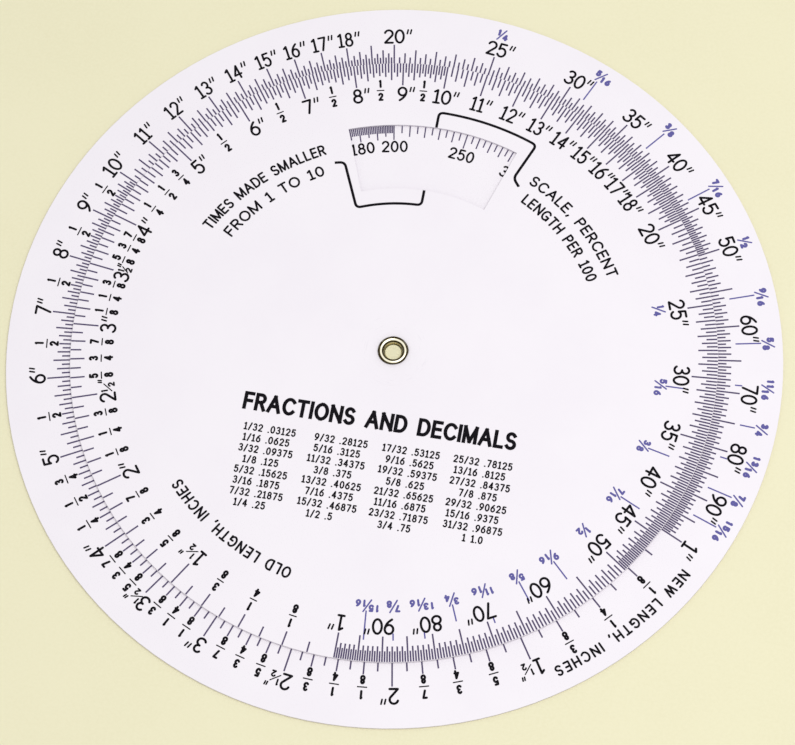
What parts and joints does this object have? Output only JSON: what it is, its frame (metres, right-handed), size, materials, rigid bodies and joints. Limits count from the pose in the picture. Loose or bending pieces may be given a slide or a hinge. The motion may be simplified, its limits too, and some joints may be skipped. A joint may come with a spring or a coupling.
{
  "type": "circular slide rule",
  "caption": "Flat circular slide rule for enlarging and reducing: a printed dial with a reading window turns on a larger printed disc, held by a brass eyelet.",
  "frame": {"origin": "on the pivot axis, at the lowest point of the eyelet's back curl", "axes": "+Z along the pivot, out of the printed faces; +Y from the pivot through the pointer of the dial's window at rest; +X to the right of the window"},
  "size_m": [0.1524, 0.1524, 0.0024],
  "materials": {
    "white_sheet": "matte white plastic sheet, die-cut",
    "eyelet_brass": "polished brass, lightly tarnished",
    "black_ink": "screen-printed black ink",
    "blue_ink": "screen-printed blue ink"
  },
  "bodies": {
    "base": {"base_disc": "white_sheet", "eyelet": "eyelet_brass", "base_inch_scale": "black_ink", "base_percent_scale": "black_ink", "base_reduction_scale": "black_ink", "base_fraction_leaders": "blue_ink"},
    "dial": {"dial_disc": "white_sheet", "dial_inch_scale": "black_ink", "dial_fraction_leaders": "blue_ink", "dial_window_lines": "black_ink"}
  },
  "joints": [
    {"name": "dial_spin", "type": "hinge", "parent": "base", "child": "dial", "pos_m": [0, 0, 0.0012], "axis": [0, 0, 1], "continuous": true}
  ]
}
